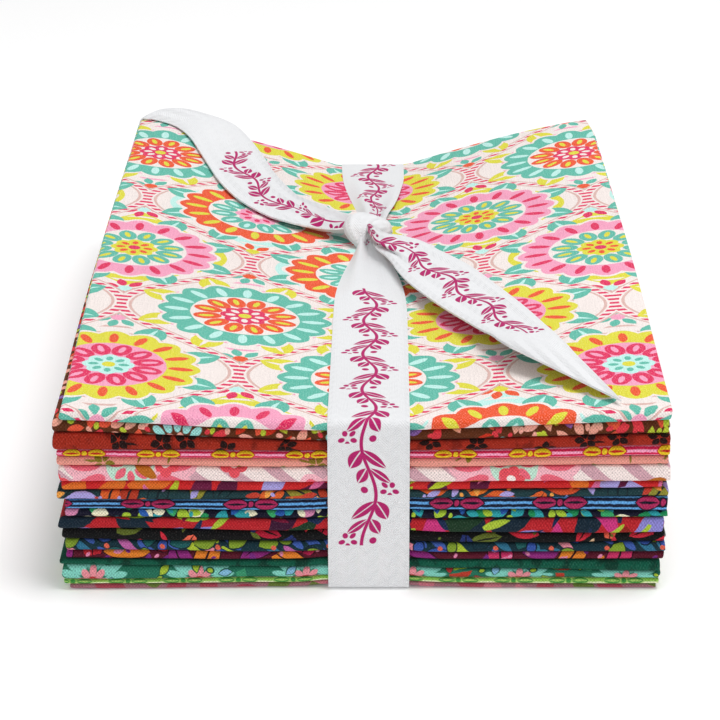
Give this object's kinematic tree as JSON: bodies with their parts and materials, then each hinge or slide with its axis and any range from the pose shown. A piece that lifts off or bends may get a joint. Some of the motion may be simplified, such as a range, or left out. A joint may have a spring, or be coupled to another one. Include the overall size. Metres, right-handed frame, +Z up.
{
  "type": "fat quarter bundle",
  "caption": "Stack of folded printed cotton quarters tied once round the middle with a flat cotton tape, knotted on top with two free tails.",
  "frame": {"origin": "middle of the underside, at table level", "axes": "+Z up, +Y from the folded front edge to the raw edges, +X to the right of someone facing the front edge"},
  "size_m": [0.1423, 0.2527, 0.0504],
  "materials": {
    "cloth_01": "matte plain-weave, pale blush printed cotton",
    "cloth_02": "matte plain-weave, brown printed cotton",
    "cloth_03": "matte plain-weave, rust red printed cotton",
    "cloth_04": "matte plain-weave, crimson striped cotton",
    "cloth_05": "matte plain-weave, salmon printed cotton",
    "cloth_06": "matte plain-weave, pink and white printed cotton",
    "cloth_07": "matte plain-weave, red printed cotton",
    "cloth_08": "matte plain-weave, lavender and teal printed cotton",
    "cloth_09": "matte plain-weave, navy striped cotton",
    "cloth_10": "matte plain-weave, near-black printed cotton",
    "cloth_11": "matte plain-weave, red and magenta printed cotton",
    "cloth_12": "matte plain-weave, black printed cotton",
    "cloth_13": "matte plain-weave, dark teal printed cotton",
    "cloth_14": "matte plain-weave, dark green printed cotton",
    "cloth_15": "matte plain-weave, plain mottled green cotton",
    "cloth_16": "matte plain-weave, green and aqua printed cotton",
    "cloth_17": "matte plain-weave, light green striped cotton",
    "cloth_18": "matte plain-weave, pink and olive printed cotton",
    "tape": "matte off-white herringbone cotton tape"
  },
  "bodies": {
    "root": {"quarter_01": "cloth_01", "quarter_02": "cloth_02", "quarter_03": "cloth_03", "quarter_04": "cloth_04", "quarter_05": "cloth_05", "quarter_06": "cloth_06", "quarter_07": "cloth_07", "quarter_08": "cloth_08", "quarter_09": "cloth_09", "quarter_10": "cloth_10", "quarter_11": "cloth_11", "quarter_12": "cloth_12", "quarter_13": "cloth_13", "quarter_14": "cloth_14", "quarter_15": "cloth_15", "quarter_16": "cloth_16", "quarter_17": "cloth_17", "quarter_18": "cloth_18", "ribbon": "tape"}
  },
  "joints": []
}
